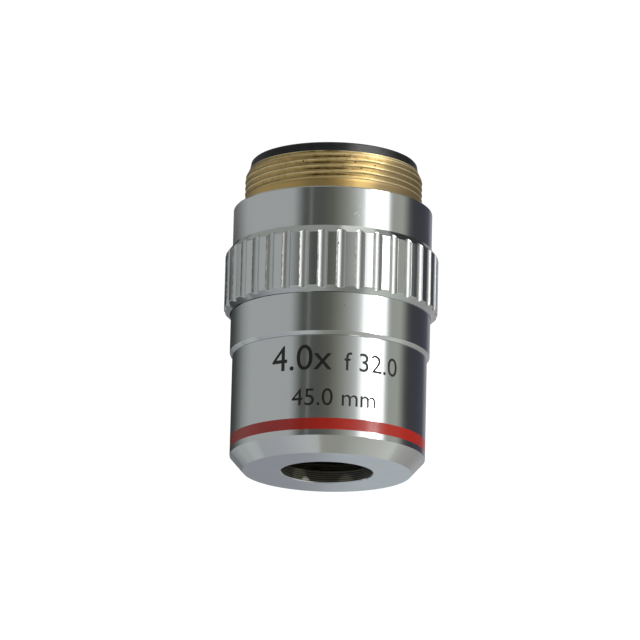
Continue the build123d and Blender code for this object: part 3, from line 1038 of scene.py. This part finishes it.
def colour_by_angle(tree, tones):
    """A link to the tones round the objective, from (angle, tone) pairs."""
    position = add_node(tree, "TexCoord").outputs["Object"]
    # The gradient's own zero lies along -X, so a quarter turn puts it behind the objective.
    quarter = add_node(tree, "Mapping", None, {"Vector": position, "Rotation": (0, 0, pi / 2)})
    around = add_node(tree, "TexGradient", {"gradient_type": "RADIAL"},
                      {"Vector": quarter.outputs["Vector"]})
    ramp = add_node(tree, "ValToRGB", None, {"Fac": around.outputs["Fac"]})
    stops = ramp.color_ramp.elements
    while len(stops) < len(tones):
        stops.new(0.5)
    for stop, (angle, tone) in zip(stops, tones):
        stop.position = (angle + 180) / 360
        stop.color = to_linear(tone)
    return ramp.outputs["Color"]


def glowing(name, tone, strength):
    """A light of one tone, or of the tones round the objective if a list is given."""
    material, tree = empty_material(name)
    colour = colour_by_angle(tree, tone) if isinstance(tone, list) else to_linear(tone)
    glow = add_node(tree, "Emission", None, {"Color": colour, "Strength": strength})
    add_node(tree, "OutputMaterial", None, {"Surface": glow.outputs["Emission"]})
    return material


print(len(wall_tones), "tones on the wall,", len(table_tones), "on the table")


# %% Walls, table and ceiling
def lit(name, tone, strength, add, **settings):
    """A primitive of the studio that glows."""
    piece = fresh("studio_" + name, add, **settings)
    piece.data.materials.append(glowing(piece.name + " glow", tone, strength))
    return piece


def wall_ring(name, low, high, tones):
    """A ring of wall between two heights, in millimetres."""
    return lit(name, tones, 1.0, bpy.ops.mesh.primitive_cylinder_add, vertices=128, end_fill_type="NOTHING",
               radius=wall_radius * mm, depth=(high - low) * mm, location=(0, 0, (high + low) / 2 * mm))


def disc(name, radius, height, tones):
    """A round level card centred under the objective."""
    return lit(name, tones, 1.0, bpy.ops.mesh.primitive_circle_add, vertices=128, fill_type="NGON",
               radius=radius * mm, location=(0, 0, height * mm))


def ceiling_card(name, low, high, height, tone, strength=1.0):
    """A flat level card between two corners, in millimetres."""
    middle = [(a + b) / 2 * mm for a, b in zip(low, high)]
    piece = lit(name, tone, strength, bpy.ops.mesh.primitive_plane_add, size=1,
                location=(*middle, height * mm))
    piece.scale = ((high[0] - low[0]) * mm, (high[1] - low[1]) * mm, 1)
    return piece


def window(name, angles, heights, tone, strength=1.0, gap=20):
    """A curved window or drape inside the wall, from left to right of the camera and from low to high."""
    steps = 24
    piece = lit(name, tone, strength, bpy.ops.mesh.primitive_grid_add, x_subdivisions=steps, y_subdivisions=1,
                size=2)
    reach = wall_radius - gap
    for point in piece.data.vertices:
        angle = radians(angles[0] + (angles[1] - angles[0]) * (point.co.x + 1) / 2)
        height = heights[0] + (heights[1] - heights[0]) * (point.co.y + 1) / 2
        point.co = Vector((reach * sin(angle), -reach * cos(angle), height)) * mm
    return piece


tables = [
    disc("table", wall_radius, table_height, table_tones),
    disc("table_inner", 330, table_height + 2, inner_table_tones),
    disc("table_centre", 95, table_height + 4, centre_tones),
]
back_heights = (-270, -150)
under_ceiling = wall_high - 2
cards = [
    *tables,
    wall_ring("wall", wall_low, wall_high, wall_tones),
    wall_ring("skirting", floor_height, wall_low, skirting_tones),
    window("window", (37, 68), (70, 250), "#FDFFFC", 1.7),
    window("window_foot", (33.5, 37.5), (70, 156), "#FDFFFC", 1.2, gap=30),
    window("bright_pane", (47, 61), (115, 165), "#FDFEFA", 9.0, gap=40),
    window("high_window", (25, 38), (270, 435), "#FFFAF0", 6.2),
    window("corner_window", (44, 68), (420, 515), "#FDFEFA", 2.4),
    window("drape", (-138, 17), (340, 518), "#343434"),
    window("left_upper", (-172, -110), (184, 262), left_upper_tones),
    window("left_corner", (-166, -139), (360, 518), "#8C8D8A"),
    window("low_dark", (-166, -146), (-292, -215), "#3C3E3E"),
    window("low_left", (-172, -154), (-170, -30), "#7E8385"),
    window("low_pale", (-140, -129), (-294, -225), "#B8BDBC", gap=150),
    window("back_drape", (100, 170), (380, 518), "#3A3B3D"),
    window("back_left", (168, 180), back_heights, "#BEC6CA"),
    window("back_right", (180, 192), back_heights, "#9DA0A6"),
    ceiling_card("ceiling", (-720, -720), (720, 720), wall_high, "#A3A59F"),
    ceiling_card("ceiling_pale", (45, -140), (215, 95), under_ceiling, "#F5F7ED"),
    ceiling_card("ceiling_black", (262, 190), (690, 690), under_ceiling, "#3A3C3A"),
    ceiling_card("ceiling_dark", (-690, 560), (-300, 690), under_ceiling, "#5A5C5A"),
    ceiling_card("ceiling_lamp", (330, -600), (650, -20), under_ceiling, "#FFFFFF", 8.0),
]
for piece in cards:
    piece.visible_camera = False
# The floor is lit by the room and not by the glowing tables right above it.
for piece in tables:
    piece.visible_diffuse = False
print(len(cards), "cards that the camera doesn't see")


# %% Floor and room
def painted_floor():
    """Pale paint that glows faintly, so that the camera sees no dark edge in the white room."""
    material, tree, position = start_material("pale matt floor paint")
    return end_material(material, {
        "Base Color": blend(tree, noise(tree, position, 0.004), "#ECECEA", "#F4F4F2"),
        "Roughness": 0.8,
        "Emission Color": to_linear("#FFFFFF"),
        "Emission Strength": 0.55,
    })


floor = fresh("floor", bpy.ops.mesh.primitive_plane_add, size=20, location=(0, 0, floor_height * mm))
floor.data.materials.append(painted_floor())
world = bpy.data.worlds.new("white room")
world.use_nodes = True
room_light = world.node_tree.nodes["Background"].inputs
room_light["Color"].default_value = (1, 1, 1, 1)
room_light["Strength"].default_value = 1.05
bpy.context.scene.world = world
bpy.context.scene.view_settings.view_transform = "Standard"
print("floor", -floor_height, "mm under the seat face")


# %% [markdown]
# ## The camera
# The photo looks up at the objective from about sixteen degrees below, from two thirds of a metre away. The
# long lens keeps the sides nearly parallel. The whole objective also leans to the right by a degree and a
# half, which is a roll of the camera.

# %% Camera
camera_place = Vector((0, -622.1, -178.1)) * mm
aim = Vector((-1.20, 3.30, -11.82)) * mm
roll = radians(1.42)
bpy.ops.object.camera_add(location=camera_place)
camera = bpy.context.object
camera.data.lens = 318.4
camera.data.sensor_width = 36
camera.data.clip_start = 0.01
look = (aim - camera_place).to_track_quat("-Z", "Y").to_matrix().to_4x4()
camera.matrix_world = Matrix.Translation(camera_place) @ look @ Matrix.Rotation(roll, 4, "Z")
bpy.context.scene.camera = camera
print("camera", round((aim - camera_place).length / mm), "mm away")
